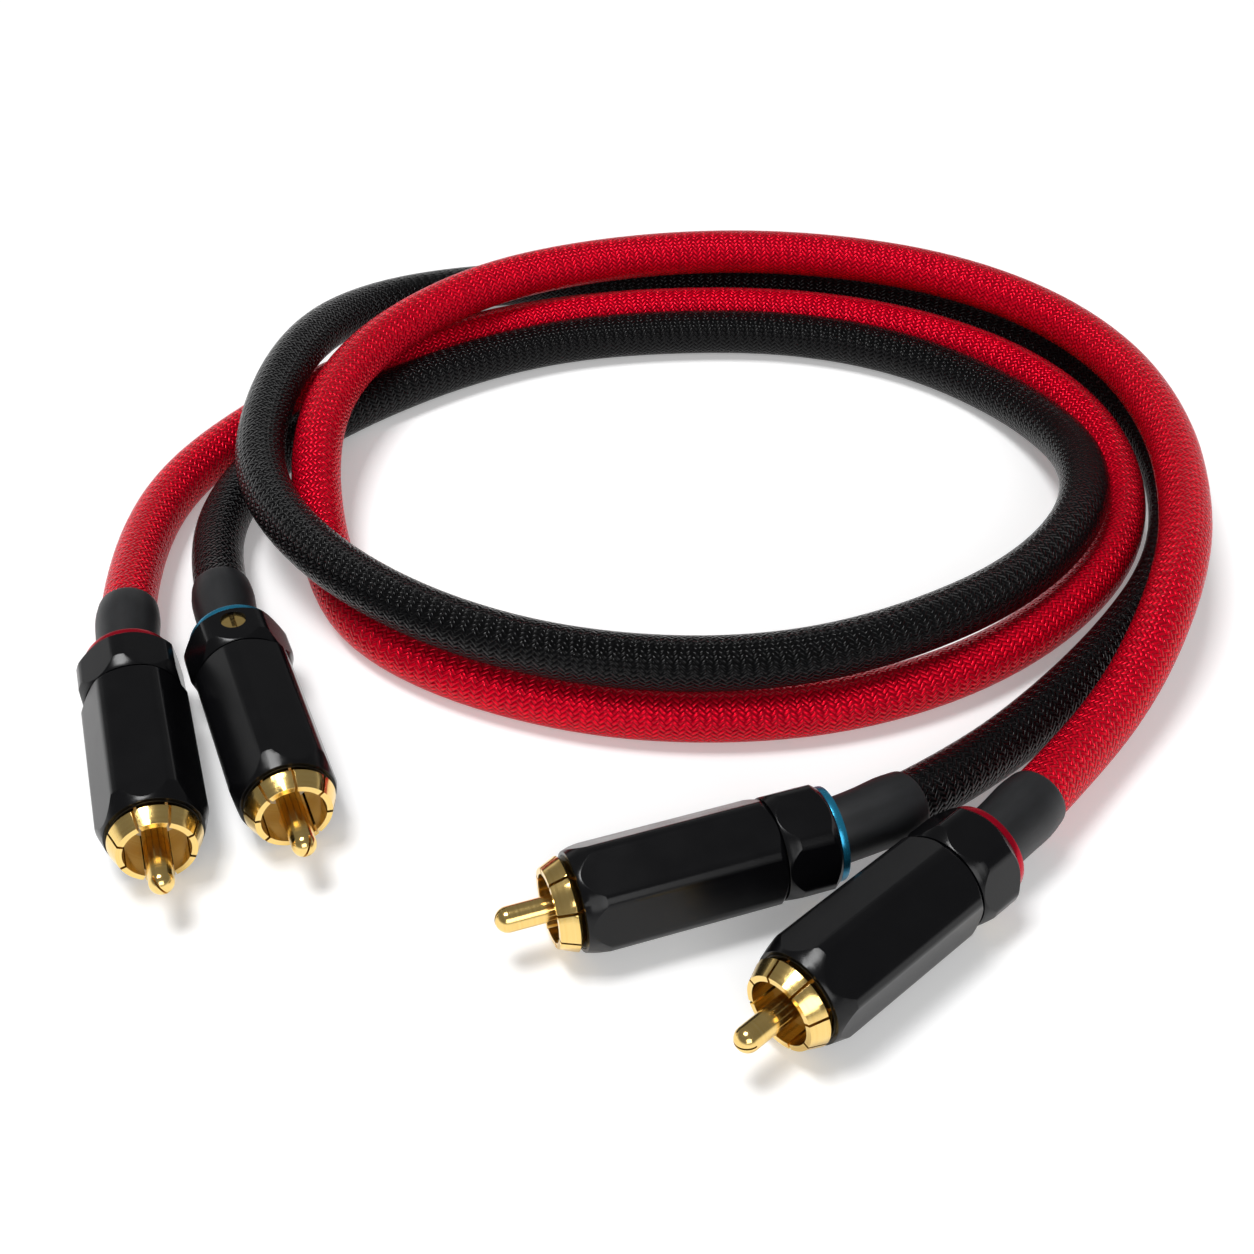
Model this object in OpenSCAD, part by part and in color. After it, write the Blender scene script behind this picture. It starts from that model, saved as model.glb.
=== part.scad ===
// Pair of coiled RCA interconnect cables, one red and one black, with locking plugs.
// Millimetres, +Z up. The origin is on the bench, at the middle of the rectangle that the
// four plugs cover. The coil lies behind the plugs, towards +Y.

/* [Centre pin] */
// Diameter of the signal pin
pin_d = 3.2; // [3:0.1:3.4]
// How far the pin stands out of the collet
pin_reach = 6.6; // [5:0.1:7]
// Width of the slit across the pin's tip
pin_slit_w = 0.25; // [0.2:0.05:0.5]
// Depth of that slit along the pin
pin_slit_len = 1.5; // [1:0.1:3]
// Diameter of its thicker tail, inside the insulator and behind it
pin_tail_d = 3.6; // [3.5:0.1:4]
// Length of the solder cup behind the insulator
cup_len = 5; // [4:0.5:6]
// Diameter of the solder cup's hole
cup_d = 1.7; // [1.5:0.1:2]

/* [Ground collet] */
// Outer diameter of the socket that the collet grips
socket_d = 8.3; // [8.2:0.05:8.4]
// Play between the open collet and the socket, across the diameter
socket_play = 0.1; // [0.05:0.05:0.2]
// Depth of the bore in front of the insulator
collet_depth = 7; // [6.5:0.5:9]
// Outer diameter of the front rim
rim_d = 9.9; // [9.6:0.1:10.6]
// Length of the cone between the rim and the shoulder
nose_len = 2.2; // [1.8:0.1:3]
// Length of the taper behind the shoulder
taper_len = 1; // [0.9:0.1:1.1]
// Diameter of the springy neck
neck_d = 9.9; // [9.6:0.1:10.1]
// Height of the shoulder behind the cone, above the neck
shoulder_rise = 0.95; // [0.8:0.05:1]
// Number of fingers
finger_count = 8; // [6:1:10]
// Width of the slots between the fingers
slot_w = 0.35; // [0.25:0.05:0.5]
// Length of the slots
slot_len = 13; // [11:0.5:15]
// Height of the thread that carries the sleeve, above the neck
thread_rise = 0.35; // [0.25:0.05:0.4]
// Length of that thread
thread_len = 11; // [8:0.5:12]
// Diameter of the tail that is screwed into the nut
tail_d = 9; // [8.6:0.1:9.4]
// Length of the tail inside the nut
tail_len = 2.2; // [1.8:0.1:2.4]
// Length of the insulator
insulator_len = 12; // [10:0.5:13]

/* [Locking sleeve] */
// Wall between the closing ring's seat and the sleeve's flats
sleeve_wall = 0.6; // [0.55:0.05:0.75]
// How much more the sleeve's turned corners measure across than its flats
sleeve_corner_rise = 1.3; // [0.8:0.1:1.4]
// Length of the sleeve
sleeve_len = 25.35; // [24:0.05:27]
// How much less the sleeve's front face measures across than its flats
mouth_fall = 0.3; // [0.2:0.05:0.4]
// Length of the cone behind the front face
mouth_cone_len = 2.6; // [2:0.1:3.5]
// How much less the sleeve's rear face measures across than its flats
sleeve_rear_fall = 0.2; // [0:0.05:0.6]
// Length of the cone ahead of the rear face
sleeve_rear_cone_len = 0.9; // [0.6:0.1:1.5]
// How far the collet's shoulder stands ahead of the sleeve at rest
shoulder_ahead = 0.9; // [0.85:0.05:1]
// How far the sleeve screws forward to lock
lock_travel = 0.4; // [0.2:0.05:0.4]

/* [Closing ring] */
// Wall of the closing ring behind its inner cone
ring_wall = 0.7; // [0.65:0.05:0.75]
// Length of the closing ring
ring_len = 1.5; // [1.2:0.1:2]

/* [Rear nut] */
// Distance across the nut's flats
nut_flats = 13; // [13:0.1:13.4]
// Diameter that the nut's corners are turned to
nut_corner_d = 14.3; // [13.9:0.1:14.4]
// Length of the hexagon
nut_len = 7.1; // [6.8:0.1:8]
// Diameter of the nut's front face
nut_front_d = 12.9; // [12.4:0.1:13]
// Length of the cone behind the front face
nut_front_cone_len = 1.7; // [1.2:0.1:2]
// Diameter of the nut's rear face
nut_rear_d = 12.4; // [12:0.1:12.8]
// Length of the cone ahead of the rear face
nut_rear_cone_len = 1.2; // [0.8:0.1:1.6]
// Diameter of the rear rim that carries the colour ring
rear_rim_d = 9.8; // [9.4:0.1:10.4]

/* [Clamp screw] */
// Diameter of the screw
screw_d = 3.4; // [3:0.1:3.5]
// How deep its end lies below the nut's flat
screw_sink = 0.4; // [0.2:0.1:0.8]
// Distance of the screw behind the nut's front face
screw_back = 4.3; // [4.2:0.1:4.4]
// Width of the screwdriver slot
screw_slot_w = 0.6; // [0.4:0.1:0.8]
// Depth of the screwdriver slot
screw_slot_depth = 0.9; // [0.6:0.1:1.2]

/* [Colour ring] */
// Outer diameter of the coloured ring
band_d = 12.1; // [11.2:0.1:12.3]
// Width of the coloured ring
band_w = 1; // [0.6:0.1:1.2]

/* [Heat-shrink sleeve] */
// Wall of the shrunk sleeve
shrink_wall = 0.35; // [0.3:0.05:0.4]
// Length that shows behind the colour ring
shrink_len = 11.9; // [10:0.1:15]
// How far it reaches into the nut and the colour ring
shrink_in = 1.8; // [1.4:0.1:2]
// How much it swells over the end of the braid, across the radius
shrink_swell = 0.2; // [0:0.05:0.3]

/* [Cables] */
// Diameter of the braided cable
cable_d = 7.6; // [7.2:0.1:7.6]
// Diameter of the insulated signal wire
lead_d = 2.2; // [1.9:0.1:2.4]
// Diameter of its bare end, and of the ground wire
wire_d = 1.5; // [1.2:0.1:1.6]
// Gap between strands that lie on or beside each other
strand_gap = 0.5; // [0.45:0.05:0.8]

/* [Fits] */
// Running clearance, across the radius
run_gap = 0.05; // [0.03:0.01:0.08]
// Clearance of pieces that are pushed or screwed together, across the radius
seat_gap = 0.02; // [0.01:0.01:0.04]
// Gap between the end faces of the sleeve and the nut
end_gap = 0.05; // [0.03:0.01:0.1]

/* [Hidden] */
$fn = 64;
cut = 1; // how far a cutting shape reaches past what it cuts
shrink_overlap = 0.3; // how far the heat-shrink's straight part reaches into the wall of its bend

// Stations along a plug's axis, forward from the nut's front face
sleeve_front = end_gap + sleeve_len;
shoulder_z = sleeve_front + shoulder_ahead;
taper_z = shoulder_z - taper_len;
rim_z = shoulder_z + nose_len;
tip_z = rim_z + pin_reach;
insulator_z = rim_z - collet_depth - insulator_len;
thread_z = 1;
cable_end_z = -tail_len - 0.3;
bend_z = cable_end_z - cable_d;
band_z = -nut_len - band_w;
bend_len = bend_z - band_z + shrink_len;
collet_bore_d = socket_d + socket_play;
rear_bore_d = 6.8;
collar_d = cable_d + 2 * (shrink_wall + run_gap);
shoulder_d = neck_d + 2 * shoulder_rise;
taper_slope = shoulder_rise / taper_len;
ring_bore_d = neck_d + 2 * run_gap;
ring_d = ring_bore_d + 2 * ring_wall;
thread_d = neck_d + 2 * thread_rise;
sleeve_flats = ring_d + 2 * (run_gap + sleeve_wall);
sleeve_corner_d = sleeve_flats + sleeve_corner_rise;
mouth_d = sleeve_flats - mouth_fall;
sleeve_rear_d = sleeve_flats - sleeve_rear_fall;
lead_gap = 0.5; // between the ground lead's end and the solder cup
cup_z = insulator_z - cup_len;

// Coil on the bench: an oval middle lane, with lanes side by side and layers on top of each other
coil_centre = [22, 70];
coil_r = 60;
oval_r = 5.5;
oval_turn = 8;
egg_r = 2;
egg_turn = 15;
lane_pitch = cable_d + strand_gap;
ring_step = 15;
tube_sides = 6;
measure_step = 3;
neighbour_angle = 90;

// Each cable's bearing round the coil with its lane, then with its layer
red_lanes = [[-49, 2.35], [-42, 2], [-35, 1.65], [-25, 1.25], [-10, 0.8], [5, 0.7], [20, 0.8], [35, 0.85],
    [50, 0.8], [65, 0.7], [125, 0.65], [140, 0.4], [155, 0.15], [170, -0.15], [180, -0.3], [190, -0.35],
    [200, -0.3], [212, 0], [240, -0.1], [255, -0.05], [285, -0.03], [300, -0.12], [315, -0.22],
    [330, -0.25], [345, -0.15], [360, -0.1], [375, 0], [390, 0], [405, -0.1], [420, -0.15], [435, -0.15],
    [450, -0.1], [465, 0.05], [480, 0.25], [495, 0.45], [508, 0.8], [520, 1.3], [529, 1.75],
    [537, 2.3], [543, 2.65], [548, 2.8], [556, 3.1]];
red_layers = [[-49, 0.25], [-42, 0.45], [-35, 0.75], [-25, 1], [170, 1], [180, 0.85], [190, 0.45],
    [200, 0.1], [212, 0], [545, 0], [556, 0.2]];
black_lanes = [[-60, 1.85], [-51, 1.4], [-41, 1.05], [-30, 0.85], [-15, 0.85], [0, 0.9], [15, 1], [30, 1],
    [45, 0.9], [60, 0.85], [75, 0.85], [90, 0.95], [105, 1.45], [120, 2.05], [135, 2.25], [147, 1.9],
    [157, 1.45], [173, 0.9], [188, 0.65], [203, 0.2], [218, -0.1], [232, -0.2], [270, -0.2], [282, -0.25],
    [294, -0.4], [308, -0.65], [325, -0.85], [345, -0.85], [360, -0.95], [375, -1.1], [390, -1.15],
    [405, -1.2], [420, -1.2], [435, -1.15], [450, -1.1], [465, -0.95], [480, -0.75], [495, -0.6],
    [510, -0.3], [522, 0.2], [533, 0.9], [542, 1.3], [548, 1.5], [556, 1.65]];
black_layers = [[-60, 0.05], [-51, 0], [110, 0], [120, 0.05], [135, 0.35], [147, 0.75], [157, 1], [294, 1],
    [308, 0.95], [325, 0.8], [345, 0.78], [360, 0.57], [375, 0.2], [390, 0], [545, 0], [556, 0.2]];

// Plugs: name, place of the nut's front face, turn from pointing to -Y, then the directions of the
// clamp screw, of a sleeve flat, of a collet slot and of the pin's slit, seen from the front, and
// how far the cable's end bends, anticlockwise from above
red_front = ["red_front", [47.8, -16.5], -47.3, -40, 54, 25, 10, 10];
red_left = ["red_left", [-56.3, 15.5], 17.5, -114, 30, 18, -60, -10];
black_front = ["black_front", [27.4, -11.1], -70.7, -42, 12, 36, 110, 18];
black_left = ["black_left", [-42.4, 20.9], 21.8, 88, 11, 35, 60, -10];
plugs = [red_front, red_left, black_front, black_left];
pieces = ["centre_pin", "insulator", "ground_collet", "closing_ring", "locking_sleeve", "rear_nut",
    "clamp_screw", "colour_ring", "heat_shrink", "signal_lead", "ground_lead"];

// How far a hexagon with turned corners reaches below its axis, with one flat facing `face`
function hex_drop(flats, corner_d, face) =
    let (half_arc = 30 - acos(flats / corner_d))
    max([for (k = [0:5])
        let (away = abs((face + 60 * k + 30 + 90 + 540) % 360 - 180))
        corner_d / 2 * cos(max(0, away - half_arc))]);
function axis_height(p) = max(hex_drop(nut_flats, nut_corner_d, p[3]),
    hex_drop(sleeve_flats, sleeve_corner_d, p[4]));

// A point on a plug's axis, z ahead of the nut's front face, and one on the bend behind it
function on_axis(p, z) = [p[1][0] + z * sin(p[2]), p[1][1] - z * cos(p[2]), axis_height(p)];
function bend_radius(p) = bend_len * 180 / PI / abs(p[7]);
function on_bend(p, part) =
    let (r = bend_radius(p) * sign(p[7]), a = p[2] + p[7] * part)
    on_axis(p, bend_z) + r * [cos(a) - cos(p[2]), sin(a) - sin(p[2]), 0];

// A point of a cable at a bearing round the coil
function lane_radius(b, lanes) = coil_r + oval_r * cos(2 * (b - oval_turn)) + egg_r * cos(b - egg_turn)
    + lane_pitch * lookup(b, lanes);
function coil_point(b, lanes, layers) = [
    coil_centre[0] + lane_radius(b, lanes) * cos(b),
    coil_centre[1] + lane_radius(b, lanes) * sin(b),
    cable_d / 2 + lane_pitch * lookup(b, layers)];
function route(from_plug, to_plug, lanes, layers, step) =
    let (first = lanes[0][0], last = lanes[len(lanes) - 1][0])
    concat([on_axis(from_plug, cable_end_z)], [for (part = [0, 0.5, 1]) on_bend(from_plug, part)],
        [coil_point(first, lanes, layers)],
        [for (b = [step * ceil(first / step + 0.4):step:last - 0.4 * step]) coil_point(b, lanes, layers)],
        [coil_point(last, lanes, layers)], [for (part = [1, 0.5, 0]) on_bend(to_plug, part)],
        [on_axis(to_plug, cable_end_z)]);
function red_route(step) = route(red_front, red_left, red_lanes, red_layers, step);
function black_route(step) = route(black_front, black_left, black_lanes, black_layers, step);

// Rings of a tube along a route: the first and last stand square to their straight ends
function unit(v) = v / norm(v);
function heading(pts, i) = unit(pts[min(i + 1, len(pts) - 1)] - pts[max(i - 1, 0)]);
function square_heading(pts, i) = i <= 1 ? unit(pts[1] - pts[0])
    : i >= len(pts) - 2 ? unit(pts[len(pts) - 1] - pts[len(pts) - 2]) : heading(pts, i);
function ring(pts, i) =
    let (ahead = square_heading(pts, i), side = unit(cross(ahead, [0, 0, 1])), above = cross(side, ahead))
    [for (k = [0:tube_sides - 1])
        let (a = 90 + 360 * k / tube_sides)
        pts[i] + cable_d / 2 * (side * cos(a) + above * sin(a))];

// Least gap between two strands measured on points: pairs closer than `apart` places are neighbours
function least_gap(pts, apart) = min([for (i = [0:len(pts) - 1 - apart])
    min([for (j = [i + apart:len(pts) - 1]) norm(pts[i] - pts[j])])]) - cable_d;
function least_gap_between(a, b) = min([for (p = a) min([for (q = b) norm(p - q)])]) - cable_d;
function path_length(pts) = let (n = len(pts)) [for (i = [1:n - 1]) norm(pts[i] - pts[i - 1])]
    * [for (i = [1:n - 1]) 1];

red_points = red_route(measure_step);
black_points = black_route(measure_step);
echo(red_cable_length = path_length(red_points), black_cable_length = path_length(black_points));
echo(red_gap_to_itself = least_gap(red_points, neighbour_angle / measure_step));
echo(black_gap_to_itself = least_gap(black_points, neighbour_angle / measure_step));
echo(gap_red_to_black = least_gap_between(red_points, black_points));
echo(axis_heights = [for (p = plugs) axis_height(p)]);

// Stands a piece that is drawn along +Z on its plug's axis
module at_plug(p, turn = 0) {
    translate(on_axis(p, 0)) rotate([90, 0, p[2]]) rotate([0, 0, turn]) children();
}

// A disc or tube between two stations of the axis
module bar(d, z0, z1) {
    translate([0, 0, z0]) cylinder(d = d, h = z1 - z0);
}

// A hexagonal bar whose flats face 0, 60, ... degrees and whose corners and ends are turned
module turned_hexagon(flats, corner_d, z0, z1, rear_d, rear_cone, front_d, front_cone) {
    intersection() {
        translate([0, 0, z0]) rotate([0, 0, 30]) cylinder(d = flats / cos(30), h = z1 - z0, $fn = 6);
        rotate_extrude() polygon([[0, z0], [rear_d / 2, z0], [corner_d / 2, z0 + rear_cone],
            [corner_d / 2, z1 - front_cone], [front_d / 2, z1], [0, z1]]);
    }
}

module centre_pin() {
    color("goldenrod") difference() {
        union() {
            bar(pin_tail_d, cup_z, insulator_z + insulator_len);
            bar(pin_d, cup_z, tip_z - pin_d / 2);
            translate([0, 0, tip_z - pin_d / 2]) sphere(d = pin_d);
        }
        bar(cup_d, cup_z - cut, insulator_z - cup_len / 4);
        translate([-pin_d, -pin_slit_w / 2, tip_z - pin_slit_len])
            cube([2 * pin_d, pin_slit_w, 2 * pin_slit_len]);
    }
}

module insulator() {
    color("ivory") difference() {
        bar(collet_bore_d - 2 * seat_gap, insulator_z, insulator_z + insulator_len);
        bar(pin_tail_d + 2 * seat_gap, insulator_z - cut, insulator_z + insulator_len + cut);
    }
}

module ground_collet() {
    color("gold") difference() {
        rotate_extrude() polygon([[rear_bore_d / 2, -tail_len], [tail_d / 2, -tail_len],
            [tail_d / 2, thread_z], [thread_d / 2, thread_z], [thread_d / 2, thread_z + thread_len],
            [neck_d / 2, thread_z + thread_len], [neck_d / 2, taper_z], [shoulder_d / 2, shoulder_z],
            [rim_d / 2, rim_z], [collet_bore_d / 2, rim_z], [collet_bore_d / 2, insulator_z],
            [rear_bore_d / 2, insulator_z]]);
        for (k = [0:finger_count - 1]) rotate([0, 0, 360 * k / finger_count])
            translate([0, -slot_w / 2, rim_z - slot_len]) cube([shoulder_d, slot_w, slot_len + cut]);
    }
}

// The ring's inner cone stays run_gap off the collet's taper when the sleeve is locked
module closing_ring() {
    front_d = ring_bore_d + 2 * taper_slope * (sleeve_front + lock_travel - taper_z);
    color("dimgray") rotate_extrude() polygon([[ring_d / 2, sleeve_front - ring_len],
        [ring_d / 2, sleeve_front], [front_d / 2, sleeve_front], [ring_bore_d / 2, taper_z - lock_travel],
        [ring_bore_d / 2, sleeve_front - ring_len]]);
}

module locking_sleeve() {
    color([0.1, 0.1, 0.11]) difference() {
        turned_hexagon(sleeve_flats, sleeve_corner_d, end_gap, sleeve_front, sleeve_rear_d,
            sleeve_rear_cone_len, mouth_d, mouth_cone_len);
        bar(thread_d + 2 * run_gap, end_gap - cut, sleeve_front + cut);
        bar(ring_d + 2 * run_gap, sleeve_front - ring_len - run_gap, sleeve_front + cut);
    }
}

module rear_nut() {
    color([0.13, 0.13, 0.14]) difference() {
        union() {
            turned_hexagon(nut_flats, nut_corner_d, -nut_len, 0, nut_rear_d, nut_rear_cone_len,
                nut_front_d, nut_front_cone_len);
            bar(rear_rim_d, band_z, -nut_len);
        }
        bar(collar_d, band_z - cut, cut);
        bar(tail_d + 2 * seat_gap, -tail_len, cut);
        translate([0, 0, -screw_back]) rotate([0, 90, 0]) bar(screw_d + 2 * seat_gap, 0, nut_corner_d);
    }
}

module clamp_screw() {
    head = nut_flats / 2 - screw_sink;
    color("gold") translate([0, 0, -screw_back]) rotate([0, 90, 0]) difference() {
        bar(screw_d, cable_d / 2, head);
        translate([-screw_d, -screw_slot_w / 2, head - screw_slot_depth])
            cube([2 * screw_d, screw_slot_w, 2 * screw_slot_depth]);
    }
}

module colour_ring(tint) {
    color(tint) difference() {
        bar(band_d, band_z, -nut_len);
        bar(rear_rim_d + 2 * seat_gap, band_z - cut, cut - nut_len);
    }
}

// Straight out of the nut, then bent towards the cable
module heat_shrink(r, angle) {
    bore = cable_d / 2 + run_gap;
    outer = cable_d / 2 + shrink_wall;
    swollen = outer + shrink_swell;
    start = band_z + shrink_in;
    color([0.22, 0.22, 0.23]) union() {
        rotate_extrude() polygon([[bore + seat_gap, start], [outer, start], [outer, band_z - run_gap],
            [swollen - seat_gap, bend_z], [swollen - 2 * seat_gap, bend_z - shrink_overlap],
            [bore + 2 * seat_gap, bend_z - shrink_overlap], [bore + seat_gap, bend_z]]);
        translate([-r, 0, bend_z]) rotate([-90, 0, 0]) rotate_extrude(angle = angle) translate([r, 0])
            difference() {
                circle(r = swollen);
                circle(r = bore);
            }
    }
}

module signal_lead() {
    color("white") union() {
        bar(lead_d, cable_end_z, cup_z - run_gap);
        bar(wire_d, cable_end_z, cup_z + cup_len / 2);
    }
}

module ground_lead() {
    color("peru") translate([-(rear_bore_d - wire_d) / 2 + seat_gap, 0, 0])
        bar(wire_d, cable_end_z, cup_z - lead_gap);
}

// One tube along a route, its faces triangles
module cable(pts, tint) {
    n = len(pts);
    s = tube_sides;
    rings = [for (i = [0:n - 1]) each ring(pts, i)];
    sides = [for (i = [0:n - 2]) for (k = [0:s - 1])
        let (a = i * s + k, b = i * s + (k + 1) % s)
        each [[a, b, b + s], [a, b + s, a + s]]];
    first_cap = [for (k = [1:s - 2]) [0, k + 1, k]];
    last_cap = [for (k = [1:s - 2]) [(n - 1) * s, (n - 1) * s + k, (n - 1) * s + k + 1]];
    color(tint) polyhedron(points = rings, faces = concat(sides, first_cap, last_cap));
}

module red_cable() {
    cable(red_route(ring_step), "crimson");
}

module black_cable() {
    cable(black_route(ring_step), [0.16, 0.16, 0.17]);
}

for (p = plugs) {
    at_plug(p, p[6]) centre_pin();
    at_plug(p) insulator();
    at_plug(p, p[5])
        ground_collet();
    at_plug(p) closing_ring();
    at_plug(p, p[4]) locking_sleeve();
    at_plug(p, p[3]) rear_nut();
    at_plug(p, p[3]) clamp_screw();
    at_plug(p)
        colour_ring(p[0][0] == "r" ? "crimson" : "steelblue");
    at_plug(p, p[7] > 0 ? 0 : 180)
        heat_shrink(bend_radius(p), abs(p[7]));
    at_plug(p) signal_lead();
    at_plug(p, p[3]) ground_lead();
}
red_cable();
black_cable();
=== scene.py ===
import math
import bmesh
import bpy
from mathutils import Matrix, Vector


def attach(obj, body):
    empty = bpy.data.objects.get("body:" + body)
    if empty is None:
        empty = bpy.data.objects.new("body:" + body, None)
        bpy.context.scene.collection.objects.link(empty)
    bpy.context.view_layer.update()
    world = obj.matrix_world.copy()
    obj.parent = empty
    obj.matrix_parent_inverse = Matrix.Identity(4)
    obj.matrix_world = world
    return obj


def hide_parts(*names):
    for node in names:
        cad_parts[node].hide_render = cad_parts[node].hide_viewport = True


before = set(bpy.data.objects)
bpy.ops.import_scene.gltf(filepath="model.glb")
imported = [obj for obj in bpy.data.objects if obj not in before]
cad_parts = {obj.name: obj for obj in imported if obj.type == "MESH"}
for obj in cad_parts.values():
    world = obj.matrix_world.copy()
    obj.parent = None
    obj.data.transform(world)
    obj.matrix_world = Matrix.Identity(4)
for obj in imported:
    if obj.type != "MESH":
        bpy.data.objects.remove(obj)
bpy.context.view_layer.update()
mm = 0.001
print("frame loaded,", len(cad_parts), "CAD nodes")


# Small tools for colours, nodes and meshes

def hexColour(text):
    # an sRGB hex value as the linear colour that the shaders take
    parts = [int(text[i:i + 2], 16) / 255 for i in (0, 2, 4)]
    return tuple(c / 12.92 if c <= 0.04045 else ((c + 0.055) / 1.055) ** 2.4 for c in parts) + (1.0,)


def addNode(tree, kind, inputs=None, **settings):
    # a node with its settings, its values and what is linked into it
    node = tree.nodes.new(kind)
    for name, value in settings.items():
        setattr(node, name, value)
    for key, value in (inputs or {}).items():
        if isinstance(value, bpy.types.NodeSocket):
            tree.links.new(value, node.inputs[key])
        else:
            node.inputs[key].default_value = value
    return node


def newMaterial(name):
    material = bpy.data.materials.new(name)
    material.use_nodes = True
    material.node_tree.nodes.clear()
    return material, material.node_tree


def closeMaterial(tree, inputs):
    shader = addNode(tree, "ShaderNodeBsdfPrincipled", inputs)
    addNode(tree, "ShaderNodeOutputMaterial", {"Surface": shader.outputs[0]})


def addPiece(name, bm, material, smoothBelow=30):
    # a finished piece from a bmesh: its object stays at the origin
    mesh = bpy.data.meshes.new(name)
    bm.to_mesh(mesh)
    bm.free()
    if "custom_normal" in mesh.attributes:
        mesh.attributes.remove(mesh.attributes["custom_normal"])
    mesh.shade_smooth()
    mesh.set_sharp_from_angle(angle=math.radians(smoothBelow))
    mesh.materials.clear()
    mesh.materials.append(material)
    piece = bpy.data.objects.new(name, mesh)
    bpy.context.scene.collection.objects.link(piece)
    return piece


# Camera

view = {
    "place": (9.85, -156.87, 167.38),  # millimetres
    "target": (9.85, 39.15, 0.0),
    "lens": 50.24,
    "sensor": 36.0,
    "nearest": 0.01,  # metres
}
camera = bpy.data.objects.new("camera", bpy.data.cameras.new("camera"))
camera.data.lens = view["lens"]
camera.data.sensor_width = view["sensor"]
camera.data.clip_start = view["nearest"]
camera.location = Vector(view["place"]) * mm
camera.rotation_euler = (Vector(view["target"]) - Vector(view["place"])).to_track_quat("-Z", "Y").to_euler()
bpy.context.scene.collection.objects.link(camera)
bpy.context.scene.camera = camera


# Where the plugs lie: place of the nut's front face, height of the axis, turn from pointing to -Y,
# and how far the cable's end bends behind the nut, all in millimetres and degrees

plugs = {
    "red_front": {"place": (47.8, -16.5), "height": 6.99916, "turn": -47.3, "bend": 10},
    "red_left": {"place": (-56.3, 15.5), "height": 7.14958, "turn": 17.5, "bend": -10},
    "black_front": {"place": (27.4, -11.1), "height": 6.97726, "turn": -70.7, "bend": 18},
    "black_left": {"place": (-42.4, 20.9), "height": 6.96309, "turn": 21.8, "bend": -10},
}
plugSizes = {
    "cableEnd": -2.5,  # end of the braid inside the nut
    "bendStart": -10.1,  # where the cable leaves the plug's axis
    "bendLength": 9.9,
}


def onAxis(plug, z):
    # a point on a plug's axis, z ahead of the nut's front face
    turn = math.radians(plug["turn"])
    x, y = plug["place"]
    return Vector((x + z * math.sin(turn), y - z * math.cos(turn), plug["height"]))


def onBend(plug, part):
    # a point on the bend behind a plug
    turn, bend = math.radians(plug["turn"]), math.radians(plug["bend"])
    radius = plugSizes["bendLength"] / bend
    angle = turn + bend * part
    aside = Vector((math.cos(angle) - math.cos(turn), math.sin(angle) - math.sin(turn), 0))
    return onAxis(plug, plugSizes["bendStart"]) + radius * aside


# Cables: an oval coil with lanes side by side and layers on top of each other. Each table gives a
# bearing round the coil, then the lane or the layer there.

coil = {
    "centre": (22, 70),
    "radius": 60,
    "oval": 5.5,
    "ovalTurn": 8,
    "egg": 2,
    "eggTurn": 15,
    "pitch": 8.1,
    "step": 3,  # degrees between route points
    "clear": 0.4,  # share of a step kept clear of the tables' ends
    "spacing": 3,  # millimetres between the points before they are eased
    "easing": 8,  # passes that round the route's corners
    "straight": 3,  # route points left alone at each end
}
cableSizes = {
    "diameter": 7.6,
    "sides": 40,
    "ringEvery": 1.0,
}
cables = {
    "red": {
        "node": "red_cable", "from": "red_front", "to": "red_left", "length": 0.745,
        "lanes": [(-49, 2.35), (-42, 2), (-35, 1.65), (-25, 1.25), (-10, 0.8), (5, 0.7), (20, 0.8),
                  (35, 0.85), (50, 0.8), (65, 0.7), (125, 0.65), (140, 0.4), (155, 0.15), (170, -0.15),
                  (180, -0.3), (190, -0.35), (200, -0.3), (212, 0), (240, -0.1), (255, -0.05),
                  (285, -0.03), (300, -0.12), (315, -0.22), (330, -0.25), (345, -0.15), (360, -0.1),
                  (375, 0), (390, 0), (405, -0.1), (420, -0.15), (435, -0.15), (450, -0.1),
                  (465, 0.05), (480, 0.25), (495, 0.45), (508, 0.8), (520, 1.3), (529, 1.75),
                  (537, 2.3), (543, 2.65), (548, 2.8), (556, 3.1)],
        "layers": [(-49, 0.25), (-42, 0.45), (-35, 0.75), (-25, 1), (170, 1), (180, 0.85), (190, 0.45),
                   (200, 0.1), (212, 0), (545, 0), (556, 0.2)],
    },
    "black": {
        "node": "black_cable", "from": "black_front", "to": "black_left", "length": 0.738,
        "lanes": [(-60, 1.85), (-51, 1.4), (-41, 1.05), (-30, 0.85), (-15, 0.85), (0, 0.9), (15, 1),
                  (30, 1), (45, 0.9), (60, 0.85), (75, 0.85), (90, 0.95), (105, 1.45), (120, 2.05),
                  (135, 2.25), (147, 1.9), (157, 1.45), (173, 0.9), (188, 0.65), (203, 0.2),
                  (218, -0.1), (232, -0.2), (270, -0.2), (282, -0.25), (294, -0.4), (308, -0.65),
                  (325, -0.85), (345, -0.85), (360, -0.95), (375, -1.1), (390, -1.15), (405, -1.2),
                  (420, -1.2), (435, -1.15), (450, -1.1), (465, -0.95), (480, -0.75), (495, -0.6),
                  (510, -0.3), (522, 0.2), (533, 0.9), (542, 1.3), (548, 1.5), (556, 1.65)],
        "layers": [(-60, 0.05), (-51, 0), (110, 0), (120, 0.05), (135, 0.35), (147, 0.75), (157, 1),
                   (294, 1), (308, 0.95), (325, 0.8), (345, 0.78), (360, 0.57), (375, 0.2), (390, 0),
                   (545, 0), (556, 0.2)],
    },
}


def lookUp(bearing, table):
    for (a, low), (b, high) in zip(table, table[1:]):
        if bearing <= b:
            return low + (high - low) * (bearing - a) / (b - a)
    return table[-1][1]


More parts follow.
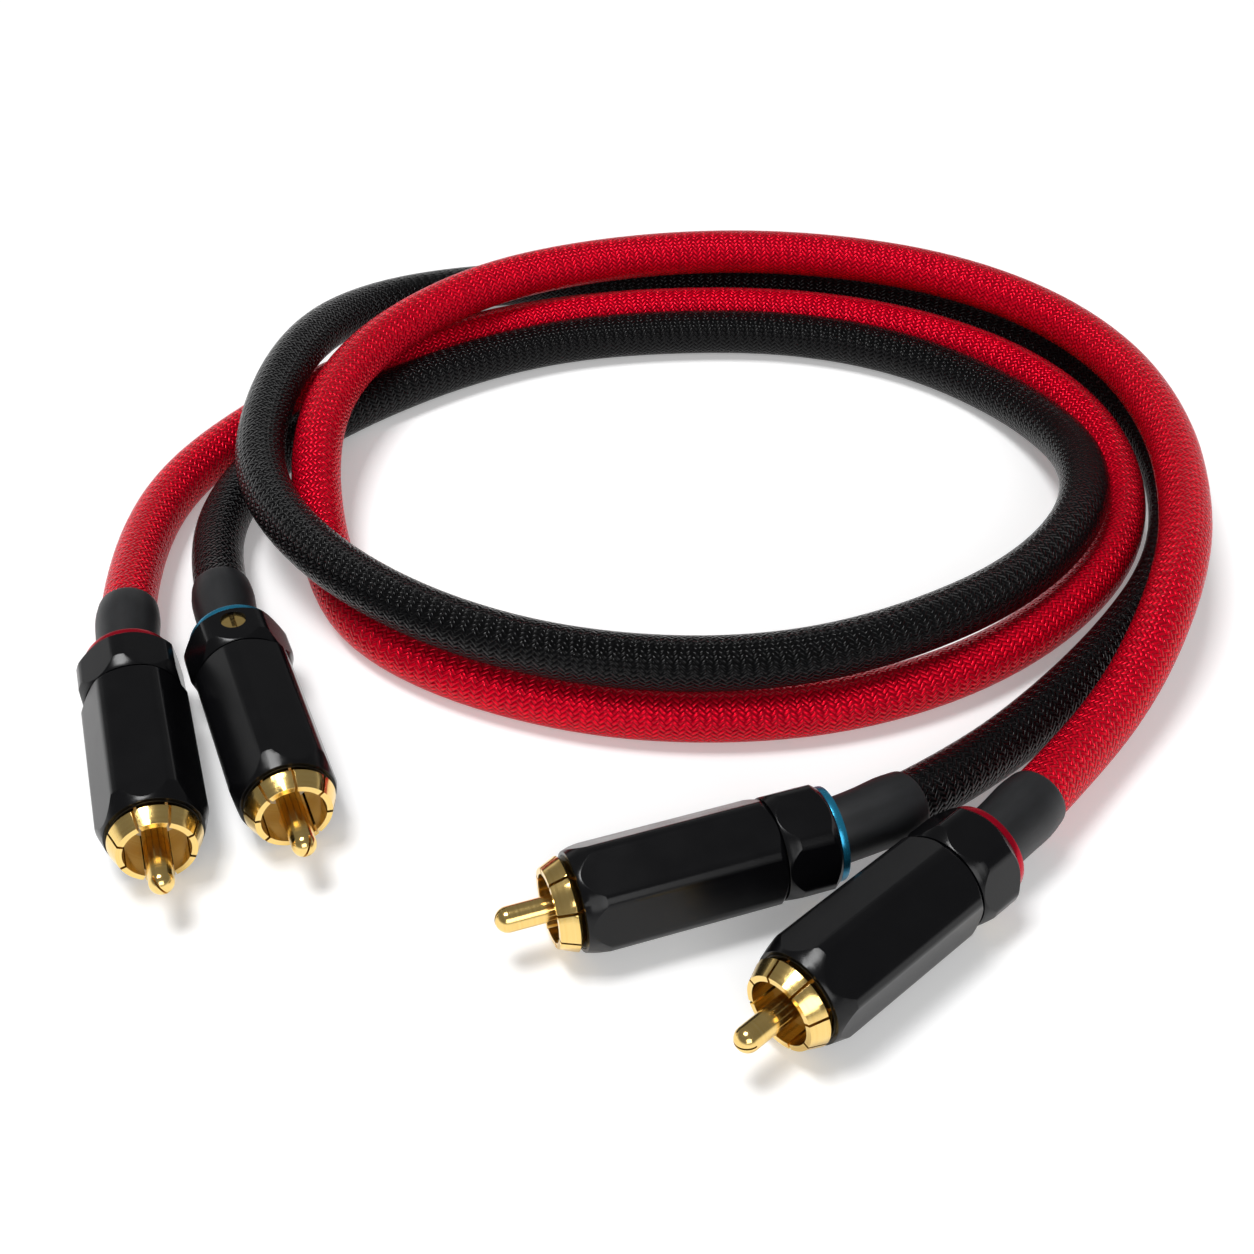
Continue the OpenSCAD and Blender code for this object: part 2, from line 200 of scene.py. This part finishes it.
def coilPoint(bearing, cable):
    angle = math.radians(bearing)
    reach = (coil["radius"] + coil["oval"] * math.cos(2 * (angle - math.radians(coil["ovalTurn"])))
             + coil["egg"] * math.cos(angle - math.radians(coil["eggTurn"]))
             + coil["pitch"] * lookUp(bearing, cable["lanes"]))
    height = cableSizes["diameter"] / 2 + coil["pitch"] * lookUp(bearing, cable["layers"])
    return Vector((coil["centre"][0] + reach * math.cos(angle),
                   coil["centre"][1] + reach * math.sin(angle), height))


def evenly(points, step):
    # the same line with its points about step apart
    lengths = [0.0]
    for a, b in zip(points, points[1:]):
        lengths.append(lengths[-1] + (b - a).length)
    count = math.ceil(lengths[-1] / step)
    found, k = [], 0
    for i in range(count + 1):
        at = lengths[-1] * i / count
        while k < len(points) - 2 and lengths[k + 1] < at:
            k += 1
        found.append(points[k].lerp(points[k + 1], (at - lengths[k]) / (lengths[k + 1] - lengths[k])))
    return found


def routeOf(cable):
    first, last, step = cable["lanes"][0][0], cable["lanes"][-1][0], coil["step"]
    start, end = plugs[cable["from"]], plugs[cable["to"]]
    points = [onAxis(start, plugSizes["cableEnd"])] + [onBend(start, part) for part in (0, 0.5, 1)]
    points.append(coilPoint(first, cable))
    bearing = step * math.ceil(first / step + coil["clear"])
    while bearing <= last - coil["clear"] * step:
        points.append(coilPoint(bearing, cable))
        bearing += step
    points.append(coilPoint(last, cable))
    points += [onBend(end, part) for part in (1, 0.5, 0)] + [onAxis(end, plugSizes["cableEnd"])]
    # a cable can't turn a corner, so the route is eased between its straight ends
    points = evenly(points, coil["spacing"])
    keep = coil["straight"]
    for _ in range(coil["easing"]):
        points = [p if i < keep or i >= len(points) - keep else (points[i - 1] + 2 * p + points[i + 1]) / 4
                  for i, p in enumerate(points)]
    return [p * mm for p in evenly(points, cableSizes["ringEvery"])]


def ringFrames(points):
    # a matrix for each point: X to the side, Y up, Z ahead along the line
    frames = []
    for i, p in enumerate(points):
        ahead = (points[min(i + 1, len(points) - 1)] - points[max(i - 1, 0)]).normalized()
        side = ahead.cross(Vector((0, 0, 1))).normalized()
        up = side.cross(ahead)
        turn = Matrix((side, up, ahead)).transposed().to_4x4()
        frames.append(Matrix.Translation(p) @ turn)
    return frames


def sweep(frames, radii, sides, closed=False):
    # a circle drawn out from ring to ring, with its way round and along kept as a UV map in millimetres
    bm = bmesh.new()
    around = bm.verts.layers.float.new("around")
    along = bm.verts.layers.float.new("along")
    places = [f @ Matrix.Diagonal((r, r, 1, 1)) for f, r in zip(frames, radii)]
    circle = bmesh.ops.create_circle(bm, cap_ends=not closed, radius=1, segments=sides, matrix=places[0])
    bm.verts.ensure_lookup_table()
    for k, vert in enumerate(bm.verts):
        vert[around] = k
    edges = list(bm.edges)
    firstEdges, travelled = edges, 0.0
    for before, after in zip(places, places[1:]):
        travelled += (after.translation - before.translation).length / mm
        grown = bmesh.ops.extrude_edge_only(bm, edges=edges)["geom"]
        verts = [g for g in grown if isinstance(g, bmesh.types.BMVert)]
        edges = [g for g in grown if isinstance(g, bmesh.types.BMEdge)]
        bmesh.ops.transform(bm, matrix=after @ before.inverted(), verts=verts)
        for vert in verts:
            vert[along] = travelled
    if closed:
        bmesh.ops.bridge_loops(bm, edges=firstEdges + edges)
    else:
        bmesh.ops.contextual_create(bm, geom=edges)
    bmesh.ops.recalc_face_normals(bm, faces=bm.faces)
    uv = bm.loops.layers.uv.new("UVMap")
    girth = 2 * math.pi * radii[0] / mm
    for face in bm.faces:
        # the last face of each ring goes on from the last side to the first
        turns = [v[around] for v in face.verts]
        seam = len(turns) == 4 and max(turns) - min(turns) > 2
        for loop in face.loops:
            turn = loop.vert[around] + (sides if seam and loop.vert[around] < sides / 2 else 0)
            loop[uv].uv = (girth * turn / sides, loop.vert[along])
    return bm


# Braid: satin nylon yarns plaited two over, two under, at 45 degrees to the cable. Each yarn is a
# smooth round bundle, so it shines along its crown; where it dips under its neighbours its colour
# is painted darker, a painted shade in the gaps.
# Light that passes through dyed fibres comes back in their colour, which the metallic share stands for.

braid = {
    "carriers": 28,  # yarns each way round the cable, about 0.6 mm apart
    "relief": 0.22,  # millimetres from a yarn's crown to the gap
    "roundness": 0.6,  # lower gives fuller yarns
    "tones": (0.7, 1.1),
    "unevenness": 0.15,
    "roughness": 0.16,
    "glossSpread": (-0.04, 0.1),
}
# the gap colour is painted shade in the dips between the yarns
braidColours = {
    "red_braid": {"yarn": "F80028", "gap": "8C0018", "glint": "FFA0AA", "satin": 0.45, "ior": 1.38},
    "black_braid": {"yarn": "08080A", "gap": "000000", "glint": "FFFFFF", "satin": 0.0, "ior": 1.24},
}


def braidMaterial(name):
    colours = braidColours[name]
    material, tree = newMaterial(name)
    uv = addNode(tree, "ShaderNodeUVMap", uv_map="UVMap")
    axes = addNode(tree, "ShaderNodeSeparateXYZ", {0: uv.outputs[0]})
    values = {"around": axes.outputs[0], "along": axes.outputs[1]}
    spacing = math.pi * cableSizes["diameter"] / braid["carriers"]
    # p and q count the yarns of the two directions; i and j say which two cross here. A yarn floats
    # over two others and dips under the next two, so the plait repeats every four.
    formula = [
        ("sum", "ADD", "around", "along"),
        ("rest", "SUBTRACT", "around", "along"),
        ("p", "DIVIDE", "sum", spacing),
        ("q", "DIVIDE", "rest", spacing),
        ("i", "FLOOR", "p"),
        ("j", "FLOOR", "q"),
        ("offset", "SUBTRACT", "j", "i"),
        ("phase", "FLOORED_MODULO", "offset", 4.0),
        ("first", "LESS_THAN", "phase", 1.5),
        ("acrossFirst", "SUBTRACT", "p", "i"),
        ("acrossSecond", "SUBTRACT", "q", "j"),
        ("runFirst", "SUBTRACT", "q", "i"),
        ("shift", "SUBTRACT", "p", "j"),
        ("runSecond", "ADD", "shift", 3.0),
        ("gapAcross", "SUBTRACT", "acrossFirst", "acrossSecond"),
        ("across", "MULTIPLY_ADD", "first", "gapAcross", "acrossSecond"),
        ("gapRun", "SUBTRACT", "runFirst", "runSecond"),
        ("run", "MULTIPLY_ADD", "first", "gapRun", "runSecond"),
        ("floatAt", "FLOORED_MODULO", "run", 4.0),
        ("aside", "MULTIPLY_ADD", "across", 2.0, -1.0),
        ("asideSquared", "MULTIPLY", "aside", "aside"),
        ("crown", "SUBTRACT", 1.0, "asideSquared"),
        ("round", "POWER", "crown", braid["roundness"]),
        ("middle", "SUBTRACT", "floatAt", 1.0),
        ("middleSquared", "MULTIPLY", "middle", "middle"),
        ("arch", "SUBTRACT", 1.0, "middleSquared"),
        ("archHalf", "MULTIPLY_ADD", "arch", 0.5, 0.5),
        ("height", "MULTIPLY", "round", "archHalf"),
        ("gapIndex", "SUBTRACT", "i", "j"),
        ("index", "MULTIPLY_ADD", "first", "gapIndex", "j"),
        ("runFour", "DIVIDE", "run", 4.0),
        ("float", "FLOOR", "runFour"),
    ]
    for line, operation, *terms in formula:
        inputs = {k: values[t] if isinstance(t, str) else t for k, t in enumerate(terms)}
        values[line] = addNode(tree, "ShaderNodeMath", inputs, operation=operation).outputs[0]
    # every float of yarn has its own tone and gloss
    place = addNode(tree, "ShaderNodeCombineXYZ", {0: values["index"], 1: values["float"], 2: values["first"]})
    chance = addNode(tree, "ShaderNodeTexWhiteNoise", {"Vector": place.outputs[0]}, noise_dimensions="3D")
    tone = addNode(tree, "ShaderNodeMapRange", {"Value": chance.outputs["Value"], "To Min": braid["tones"][0],
                                                "To Max": braid["tones"][1]})
    # painted shade: the colour runs from the dark gap colour to the yarn colour with the yarn's height, times a
    # random tone for each float
    shadeAndTone = addNode(tree, "ShaderNodeMath", {0: values["height"], 1: tone.outputs[0]}, operation="MULTIPLY")
    colour = addNode(tree, "ShaderNodeMix", {"Factor": shadeAndTone.outputs[0], 6: hexColour(colours["gap"]),
                                             7: hexColour(colours["yarn"])}, data_type="RGBA")
    gloss = addNode(tree, "ShaderNodeMapRange", {"Value": chance.outputs["Value"],
                                                 "To Min": braid["roughness"] + braid["glossSpread"][0],
                                                 "To Max": braid["roughness"] + braid["glossSpread"][1]})
    raised = addNode(tree, "ShaderNodeMath", {0: chance.outputs["Value"], 1: braid["unevenness"],
                                              2: values["height"]}, operation="MULTIPLY_ADD")
    bump = addNode(tree, "ShaderNodeBump", {"Height": raised.outputs[0], "Distance": braid["relief"] * mm,
                                            "Strength": 1.0})
    closeMaterial(tree, {"Base Color": colour.outputs[2], "Roughness": gloss.outputs[0],
                         "Normal": bump.outputs[0], "Metallic": colours["satin"],
                         "Specular Tint": hexColour(colours["glint"]), "IOR": colours["ior"]})
    return material


cords = {}
for tint, cable in cables.items():
    route = routeOf(cable)
    frames = ringFrames(route)
    bm = sweep(frames, [cableSizes["diameter"] / 2 * mm] * len(frames), cableSizes["sides"])
    cord = addPiece(tint + "_cord", bm, braidMaterial(tint + "_braid"))
    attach(cord, "cables_and_plugs")
    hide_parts(cable["node"])
    cords[tint] = {"piece": cord, "route": route}
print("cords made,", [round(sum((b - a).length for a, b in zip(c["route"], c["route"][1:])), 4)
                      for c in cords.values()], "m long")


# Heat-shrink over the end of each cable, drawn along the cable's own route

shrink = {
    "bore": 3.86,
    "sides": 64,
    # place behind the nut's front face, and the outside radius there
    "profile": [(-6.3, 4.12), (-8.05, 4.12), (-8.3, 4.17), (-9.5, 4.24), (-11.5, 4.28), (-13.5, 4.33),
                (-15.2, 4.42), (-16.6, 4.47), (-17.8, 4.42), (-18.8, 4.31), (-19.5, 4.24), (-19.85, 4.16),
                (-20.0, 4.02)],
    "colour": "131416",
    # the paler tone is painted sheen on the wrinkles' crests
    "paleTone": "1A1B1E",
    "roughness": 0.5,
    "wrinkles": 0.9,  # to the millimetre round the sleeve
    "drawn": 0.35,  # share of that along it
    "grain": 6.0,  # to the millimetre
    "depth": 0.05,  # millimetres
}


def shrinkMaterial():
    # heat-shrunk polyolefin: matt dark grey, faintly wrinkled where it gripped the braid, its colour paler on the
    # wrinkles' crests as a painted sheen
    material, tree = newMaterial("heat_shrink_polyolefin")
    uv = addNode(tree, "ShaderNodeUVMap", uv_map="UVMap")
    stretched = addNode(tree, "ShaderNodeMapping", {"Vector": uv.outputs[0], "Scale": (1.0, shrink["drawn"], 1.0)})
    wrinkle = addNode(tree, "ShaderNodeTexNoise", {"Vector": stretched.outputs[0], "Scale": shrink["wrinkles"],
                                                   "Detail": 3.0})
    grain = addNode(tree, "ShaderNodeTexNoise", {"Vector": uv.outputs[0], "Scale": shrink["grain"], "Detail": 2.0})
    # painted sheen: the colour turns paler where the wrinkles rise
    tone = addNode(tree, "ShaderNodeMapRange", {"Value": wrinkle.outputs[0], "From Min": 0.35, "From Max": 0.7})
    colour = addNode(tree, "ShaderNodeMix", {"Factor": tone.outputs[0], 6: hexColour(shrink["colour"]),
                                             7: hexColour(shrink["paleTone"])}, data_type="RGBA")
    gloss = addNode(tree, "ShaderNodeMapRange", {"Value": grain.outputs[0], "To Min": shrink["roughness"] - 0.1,
                                                 "To Max": shrink["roughness"] + 0.1})
    height = addNode(tree, "ShaderNodeMath", {0: grain.outputs[0], 1: 0.25, 2: wrinkle.outputs[0]},
                     operation="MULTIPLY_ADD")
    bump = addNode(tree, "ShaderNodeBump", {"Height": height.outputs[0], "Distance": shrink["depth"] * mm,
                                            "Strength": 0.5})
    closeMaterial(tree, {"Base Color": colour.outputs[2], "Roughness": gloss.outputs[0],
                         "Normal": bump.outputs[0], "IOR": 1.5})
    return material


shrinkSkin = shrinkMaterial()


def pointAlong(route, distance):
    # the point a distance in millimetres along a route whose points are evenly spaced
    step = (route[1] - route[0]).length / mm
    k = min(int(distance / step), len(route) - 2)
    return route[k].lerp(route[k + 1], distance / step - k)


for tint, cable in cables.items():
    for end, way in (("from", 1), ("to", -1)):
        name = cable[end]
        route = cords[tint]["route"][::way]
        spots = [z for z, _ in shrink["profile"]]
        middle = [pointAlong(route, plugSizes["cableEnd"] - z) for z in spots]
        frames = ringFrames(middle)
        radii = [r * mm for _, r in shrink["profile"]]
        bore = [shrink["bore"] * mm] * len(frames)
        bm = sweep(frames + frames[::-1], radii + bore, shrink["sides"], closed=True)
        piece = addPiece(name + "_shrink_sleeve", bm, shrinkSkin, smoothBelow=50)
        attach(piece, "cables_and_plugs")
        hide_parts(name + "_heat_shrink")
print("heat-shrink sleeves made")


# Metals and plastics of the plugs. Their patterns follow each plug's own axis.

finishes = {
    "gold": {"colour": "EBC26C", "bright": "F7DA92", "roughness": 0.15, "depth": 0.006},
    "anodised": {"colour": "060608", "paleTone": "0B0B0D", "roughness": 0.22, "depth": 0.004, "ior": 1.34,
                 "grain": 0.18, "cloud": 4},
    "turning": 0.3,  # millimetres between tool marks, drawn coarser than the real 0.1
}


def plugAxes(tree, plug):
    # Object coordinates turned to the plug: X and Y across it, Z forward along its axis
    place = addNode(tree, "ShaderNodeTexCoord")
    turned = addNode(tree, "ShaderNodeMapping", {"Vector": place.outputs["Object"],
                                                 "Location": onAxis(plug, 0) * mm,
                                                 "Rotation": (math.pi / 2, 0, math.radians(plug["turn"]))},
                     vector_type="TEXTURE")
    return turned.outputs[0]


def turnedMarks(tree, place):
    # tool marks of a lathe: rings round the axis, on the faces as on the sides
    axes = addNode(tree, "ShaderNodeSeparateXYZ", {0: place})
    flat = addNode(tree, "ShaderNodeCombineXYZ", {0: axes.outputs[0], 1: axes.outputs[1]})
    out = addNode(tree, "ShaderNodeVectorMath", {0: flat.outputs[0]}, operation="LENGTH")
    along = addNode(tree, "ShaderNodeMath", {0: axes.outputs[2], 1: out.outputs["Value"]}, operation="ADD")
    spot = addNode(tree, "ShaderNodeMath", {0: along.outputs[0], 1: 1 / (finishes["turning"] * mm)},
                   operation="MULTIPLY")
    noise = addNode(tree, "ShaderNodeTexNoise", {"W": spot.outputs[0], "Scale": 1.0, "Detail": 2.0},
                    noise_dimensions="1D")
    return noise.outputs[0]


def goldMaterial(name, plug):
    # gold flash on turned brass: mirror-like, with faint rings from the lathe under the plating
    sizes = finishes["gold"]
    material, tree = newMaterial(name)
    marks = turnedMarks(tree, plugAxes(tree, plug))
    colour = addNode(tree, "ShaderNodeMix", {"Factor": marks, 6: hexColour(sizes["colour"]),
                                             7: hexColour(sizes["bright"])}, data_type="RGBA")
    gloss = addNode(tree, "ShaderNodeMapRange", {"Value": marks, "To Min": sizes["roughness"] - 0.05,
                                                 "To Max": sizes["roughness"] + 0.1})
    bump = addNode(tree, "ShaderNodeBump", {"Height": marks, "Distance": sizes["depth"] * mm, "Strength": 0.5})
    closeMaterial(tree, {"Base Color": colour.outputs[2], "Metallic": 1.0, "Roughness": gloss.outputs[0],
                         "Normal": bump.outputs[0]})
    return material


def anodisedMaterial(name):
    # hard black anodising on bead-blasted aluminium: a satin skin with a fine even grain
    sizes = finishes["anodised"]
    material, tree = newMaterial(name)
    place = addNode(tree, "ShaderNodeTexCoord").outputs["Object"]
    grain = addNode(tree, "ShaderNodeTexNoise", {"Vector": place, "Scale": 1 / (sizes["grain"] * mm),
                                                 "Detail": 2.0})
    cloud = addNode(tree, "ShaderNodeTexNoise", {"Vector": place, "Scale": 1 / (sizes["cloud"] * mm),
                                                 "Detail": 2.0})
    colour = addNode(tree, "ShaderNodeMix", {"Factor": cloud.outputs[0], 6: hexColour(sizes["colour"]),
                                             7: hexColour(sizes["paleTone"])}, data_type="RGBA")
    gloss = addNode(tree, "ShaderNodeMapRange", {"Value": cloud.outputs[0], "To Min": sizes["roughness"] - 0.04,
                                                 "To Max": sizes["roughness"] + 0.06})
    bump = addNode(tree, "ShaderNodeBump", {"Height": grain.outputs[0], "Distance": sizes["depth"] * mm,
                                            "Strength": 0.6})
    closeMaterial(tree, {"Base Color": colour.outputs[2], "Metallic": 0.0, "Roughness": gloss.outputs[0],
                         "Normal": bump.outputs[0], "IOR": sizes["ior"]})
    return material


def plainFinish(name, colour, second, roughness, grain, depth, metallic=0.0, ior=1.5):
    # a moulded, dyed or drawn surface: two close tones and a fine grain, its size and depth in millimetres
    material, tree = newMaterial(name)
    place = addNode(tree, "ShaderNodeTexCoord").outputs["Object"]
    noise = addNode(tree, "ShaderNodeTexNoise", {"Vector": place, "Scale": 1 / (grain * mm), "Detail": 3.0})
    mixed = addNode(tree, "ShaderNodeMix", {"Factor": noise.outputs[0], 6: hexColour(colour),
                                            7: hexColour(second)}, data_type="RGBA")
    gloss = addNode(tree, "ShaderNodeMapRange", {"Value": noise.outputs[0], "To Min": roughness - 0.06,
                                                 "To Max": roughness + 0.08})
    bump = addNode(tree, "ShaderNodeBump", {"Height": noise.outputs[0], "Distance": depth * mm,
                                            "Strength": 0.6})
    inputs = {"Base Color": mixed.outputs[2], "Roughness": gloss.outputs[0], "Normal": bump.outputs[0],
              "Metallic": metallic}
    if not metallic:
        inputs["IOR"] = ior
    closeMaterial(tree, inputs)
    return material


blackAnodised = anodisedMaterial("black_anodised_aluminium")
plugFinishes = {
    # PTFE, turned from rod: waxy white with a soft shine
    "insulator": plainFinish("ptfe", "FAF6EC", "F1EADB", roughness=0.42, grain=0.5, depth=0.004, ior=1.38),
    # acetal: black, moulded, low sheen
    "closing_ring": plainFinish("black_acetal", "08080A", "0E0E10", roughness=0.42, grain=0.4, depth=0.003,
                                ior=1.48),
    # PVC insulation and bare copper strand, both inside the housing
    "signal_lead": plainFinish("lead_pvc", "E4E2DC", "D6D3CB", roughness=0.45, grain=0.6, depth=0.004),
    "ground_lead": plainFinish("bare_copper", "C06A42", "A9552F", roughness=0.34, grain=0.3, depth=0.006,
                               metallic=1.0),
}
# clear-dyed anodising keeps the metal's glitter under its colour
ringFinishes = {
    "red": plainFinish("red_anodised_aluminium", "CC002A", "A8001E", roughness=0.24, grain=0.3, depth=0.003,
                       metallic=0.75),
    "black": plainFinish("blue_anodised_aluminium", "3399BE", "1F7FA5", roughness=0.24, grain=0.3, depth=0.003,
                         metallic=0.75),
}
# how wide each piece's broken edges are, in millimetres
edgeWidths = {
    "centre_pin": 0.05,
    "ground_collet": 0.06,
    "closing_ring": 0.08,
    "locking_sleeve": 0.16,
    "rear_nut": 0.16,
    "clamp_screw": 0.08,
    "colour_ring": 0.1,
}
# the strip beside each long corner of a hexagonal piece over which its shading turns
longCorners = {"locking_sleeve": 0.6, "rear_nut": 0.5}
softening = {
    "weld": 0.002,  # millimetres
    "flatWithin": 0.5,  # degrees between faces that count as one flat
    "edgeAbove": 12,  # degrees between faces that make an edge to break
    "smoothBelow": 40,
    "segments": 2,
}


def roundLongCorners(bm, axis, width):
    # a line on each of the six flats, width from its long corners, so that only the strip beyond it turns
    sides = [f for f in bm.faces if abs(f.normal.dot(axis)) < 0.01]
    side = max(sides, key=lambda f: f.calc_area()).normal.copy()
    for k in range(6):
        flat = Matrix.Rotation(math.radians(60 * k), 3, axis) @ side
        for across in (axis.cross(flat), flat.cross(axis)):
            faces = [f for f in bm.faces if f.normal.dot(flat) > 0.9999]
            reach = max(v.co.dot(across) for f in faces for v in f.verts)
            parts = set(faces) | {e for f in faces for e in f.edges} | {v for f in faces for v in f.verts}
            bmesh.ops.bisect_plane(bm, geom=list(parts), plane_co=across * (reach - width),
                                   plane_no=across)


def softenedCopy(node, width, material, name, axis, rounding=0):
    # the CAD piece with its edges broken, as tumbling and polishing leave them
    bm = bmesh.new()
    bm.from_mesh(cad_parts[node].data)
    bmesh.ops.remove_doubles(bm, verts=bm.verts, dist=softening["weld"] * mm)
    bmesh.ops.dissolve_limit(bm, angle_limit=math.radians(softening["flatWithin"]), verts=bm.verts,
                             edges=bm.edges)
    sharp = math.radians(softening["edgeAbove"])
    corners = [e for e in bm.edges if len(e.link_faces) == 2 and e.calc_face_angle() > sharp]
    if rounding:
        # the long corners run along the axis and are left for roundLongCorners
        corners = [e for e in corners
                   if abs((e.verts[1].co - e.verts[0].co).normalized().dot(axis)) < 0.999]
    bmesh.ops.bevel(bm, geom=corners, offset=width * mm, offset_type="OFFSET",
                    segments=softening["segments"], profile=0.5, affect="EDGES", material=-1,
                    clamp_overlap=True)
    if rounding:
        roundLongCorners(bm, axis, rounding * mm)
    piece = addPiece(name, bm, material, smoothBelow=softening["smoothBelow"])
    weights = piece.modifiers.new("even_flats", "WEIGHTED_NORMAL")
    weights.keep_sharp = True
    return piece


bodies = {"closing_ring": "_ring", "locking_sleeve": "_sleeve"}
for name, plug in plugs.items():
    tint = name.split("_")[0]
    axis = (onAxis(plug, 1) - onAxis(plug, 0)).normalized()
    gold = goldMaterial("gold_plated_brass_" + name, plug)
    dressed = {
        "centre_pin": gold,
        "ground_collet": gold,
        "clamp_screw": gold,
        "closing_ring": plugFinishes["closing_ring"],
        "locking_sleeve": blackAnodised,
        "rear_nut": blackAnodised,
        "colour_ring": ringFinishes[tint],
    }
    for kind, material in dressed.items():
        piece = softenedCopy(name + "_" + kind, edgeWidths[kind], material, name + "_" + kind + "_finish", axis,
                             longCorners.get(kind, 0))
        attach(piece, name + bodies[kind] if kind in bodies else "cables_and_plugs")
        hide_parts(name + "_" + kind)
    for kind in ("insulator", "signal_lead", "ground_lead"):
        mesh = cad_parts[name + "_" + kind].data
        mesh.materials[0] = plugFinishes[kind]
print("plugs dressed")


# Floor, lamps and world

studio = {
    "floor": "F4F4F4",
    "floorSize": 6.0,
    "floorLift": 0.26,
    "farFloor": (0.35, 1.1),  # metres out, between which the lamps give out and the floor lifts itself
    "worldLight": 0.2,  # on the object, from the ceiling of the studio
    "backdrop": (0.06, 0.24),  # how high a way points where the white backdrop begins and has faded
    "lampTarget": (0.0, 0.04, 0.0),
}
# the key hangs high over the coil, the fill stands in front and lights the gold and the bores
lamps = {
    "key_softbox": {"place": (-0.3, 0.08, 1.2), "size": (0.42, 0.42), "power": 10.0},
    "fill_softbox": {"place": (0.25, -1.1, 0.75), "size": (0.9, 0.7), "power": 6.5},
}
floorMesh = bmesh.new()
bmesh.ops.create_grid(floorMesh, x_segments=1, y_segments=1, size=studio["floorSize"])
floorPaint, tree = newMaterial("white_paper_floor")
rays = addNode(tree, "ShaderNodeLightPath")
seen = addNode(tree, "ShaderNodeMath", {0: rays.outputs["Is Camera Ray"], 1: rays.outputs["Is Glossy Ray"]},
               operation="ADD")
seenAll = addNode(tree, "ShaderNodeMath", {0: seen.outputs[0], 1: rays.outputs["Is Transmission Ray"]},
                  operation="ADD", use_clamp=True)
lift = addNode(tree, "ShaderNodeMath", {0: seenAll.outputs[0], 1: studio["floorLift"]}, operation="MULTIPLY")
reach = addNode(tree, "ShaderNodeVectorMath", {0: addNode(tree, "ShaderNodeTexCoord").outputs["Object"]},
                operation="LENGTH")
far = addNode(tree, "ShaderNodeMapRange", {"Value": reach.outputs["Value"], "From Min": studio["farFloor"][0],
                                           "From Max": studio["farFloor"][1]})
whole = addNode(tree, "ShaderNodeMath", {0: rays.outputs["Is Camera Ray"], 1: far.outputs[0], 2: lift.outputs[0]},
                operation="MULTIPLY_ADD", use_clamp=True)
closeMaterial(tree, {"Base Color": hexColour(studio["floor"]), "Roughness": 0.9,
                     "Emission Color": (1.0, 1.0, 1.0, 1.0), "Emission Strength": whole.outputs[0]})
floor = addPiece("floor", floorMesh, floorPaint)

world = bpy.data.worlds.new("studio")
bpy.context.scene.world = world
world.use_nodes = True
tree = world.node_tree
tree.nodes.clear()
rays = addNode(tree, "ShaderNodeLightPath")
seen = addNode(tree, "ShaderNodeMath", {0: rays.outputs["Is Camera Ray"], 1: rays.outputs["Is Transmission Ray"]},
               operation="ADD")
# the white backdrop stands up to about 10 degrees, so metal reflects it there and a dark ceiling above
ways = addNode(tree, "ShaderNodeSeparateXYZ", {0: addNode(tree, "ShaderNodeTexCoord").outputs["Generated"]})
backdrop = addNode(tree, "ShaderNodeMapRange", {"Value": ways.outputs[2], "From Min": studio["backdrop"][0],
                                                "From Max": studio["backdrop"][1], "To Min": 1.0, "To Max": 0.0})
seenAll = addNode(tree, "ShaderNodeMath", {0: rays.outputs["Is Glossy Ray"], 1: backdrop.outputs[0],
                                           2: seen.outputs[0]}, operation="MULTIPLY_ADD", use_clamp=True)
strength = addNode(tree, "ShaderNodeMapRange", {"Value": seenAll.outputs[0], "To Min": studio["worldLight"],
                                                "To Max": 1.0})
sky = addNode(tree, "ShaderNodeBackground", {"Color": (1.0, 1.0, 1.0, 1.0), "Strength": strength.outputs[0]})
addNode(tree, "ShaderNodeOutputWorld", {"Surface": sky.outputs[0]})

for name, values in lamps.items():
    lamp = bpy.data.objects.new(name, bpy.data.lights.new(name, "AREA"))
    lamp.data.shape = "RECTANGLE"
    lamp.data.size, lamp.data.size_y = values["size"]
    lamp.data.energy = values["power"]
    lamp.location = values["place"]
    ahead = Vector(studio["lampTarget"]) - Vector(values["place"])
    lamp.rotation_euler = ahead.to_track_quat("-Z", "Y").to_euler()
    bpy.context.scene.collection.objects.link(lamp)
bpy.context.scene.view_settings.view_transform = "Standard"
print("studio lit")
